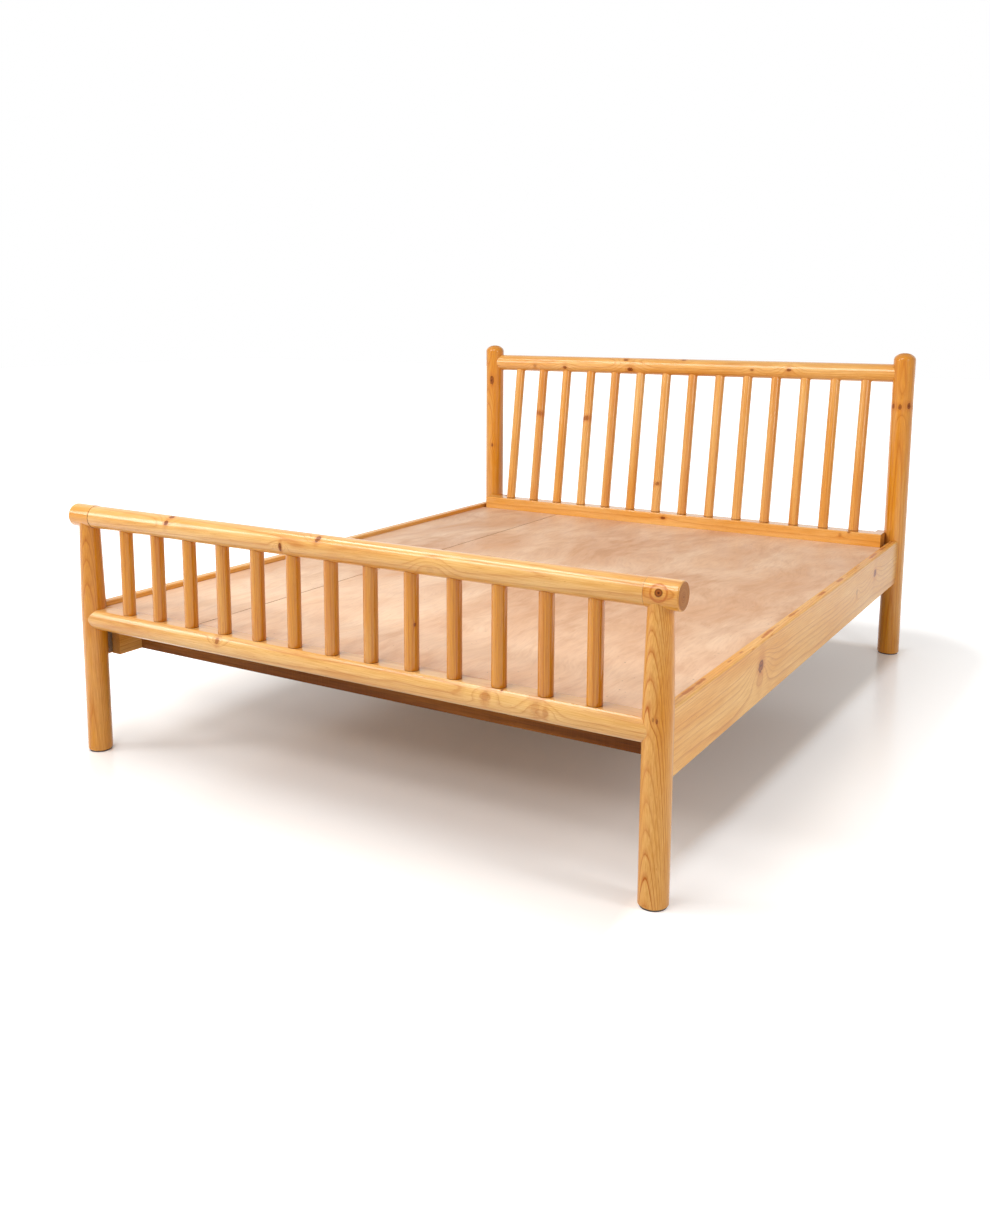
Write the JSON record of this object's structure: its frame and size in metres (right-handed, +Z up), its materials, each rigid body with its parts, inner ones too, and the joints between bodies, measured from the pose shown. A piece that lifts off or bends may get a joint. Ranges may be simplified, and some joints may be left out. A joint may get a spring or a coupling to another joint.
{
  "type": "spindle bed",
  "caption": "Round-pole pine double bed frame: raked spindle headboard, low spindle footboard, board side rails, cross joists and a loose plywood deck.",
  "frame": {"origin": "on the floor under the middle of the bed", "axes": "+X across the bed to the right seen from the foot, +Y from the foot to the head, +Z up"},
  "size_m": [1.692, 2.1178, 1.034],
  "materials": {
    "pine": "clear gloss varnish over knotty pine",
    "plywood": "bare rotary-cut plywood, satin",
    "joist_wood": "brown-stained joist, matt",
    "zinc_steel": "bright zinc plate",
    "glide": "matt dark glide"
  },
  "bodies": {
    "frame": {"foot_post_left": "pine", "foot_post_right": "pine", "foot_top_rail": "pine", "foot_rail_cap_left": "pine", "foot_rail_cap_right": "pine", "foot_lower_rail": "pine", "head_post_left": "pine", "head_post_right": "pine", "head_top_rail": "pine", "head_lower_rail": "pine", "head_rail_blocks": "pine", "side_rail_left": "pine", "side_rail_right": "pine", "joist_cleat_left": "pine", "joist_cleat_right": "pine", "foot_spindle_01": "pine", "foot_spindle_02": "pine", "foot_spindle_03": "pine", "foot_spindle_04": "pine", "foot_spindle_05": "pine", "foot_spindle_06": "pine", "foot_spindle_07": "pine", "foot_spindle_08": "pine", "foot_spindle_09": "pine", "foot_spindle_10": "pine", "foot_spindle_11": "pine", "foot_spindle_12": "pine", "foot_spindle_13": "pine", "head_spindle_01": "pine", "head_spindle_02": "pine", "head_spindle_03": "pine", "head_spindle_04": "pine", "head_spindle_05": "pine", "head_spindle_06": "pine", "head_spindle_07": "pine", "head_spindle_08": "pine", "head_spindle_09": "pine", "head_spindle_10": "pine", "head_spindle_11": "pine", "head_spindle_12": "pine", "head_spindle_13": "pine", "head_spindle_14": "pine", "cross_joist_1": "joist_wood", "cross_joist_2": "joist_wood", "cross_joist_3": "joist_wood", "cross_joist_4": "joist_wood", "cross_joist_5": "joist_wood", "rail_bracket_foot_left": "zinc_steel", "rail_bracket_foot_right": "zinc_steel", "rail_bracket_head_left": "zinc_steel", "rail_bracket_head_right": "zinc_steel", "post_plate_foot_left": "zinc_steel", "post_plate_foot_right": "zinc_steel", "post_plate_head_left": "zinc_steel", "post_plate_head_right": "zinc_steel", "bracket_screws": "zinc_steel", "joist_screws": "zinc_steel", "post_glides": "glide"},
    "deck_wide": {"deck_panel_wide": "plywood"},
    "deck_narrow": {"deck_panel_narrow": "plywood"}
  },
  "joints": [
    {"name": "deck_wide_lift", "type": "slide", "parent": "frame", "child": "deck_wide", "axis": [0, 0, 1], "range_m": [0, 0.7]},
    {"name": "deck_narrow_lift", "type": "slide", "parent": "frame", "child": "deck_narrow", "axis": [0, 0, 1], "range_m": [0, 0.7]}
  ]
}
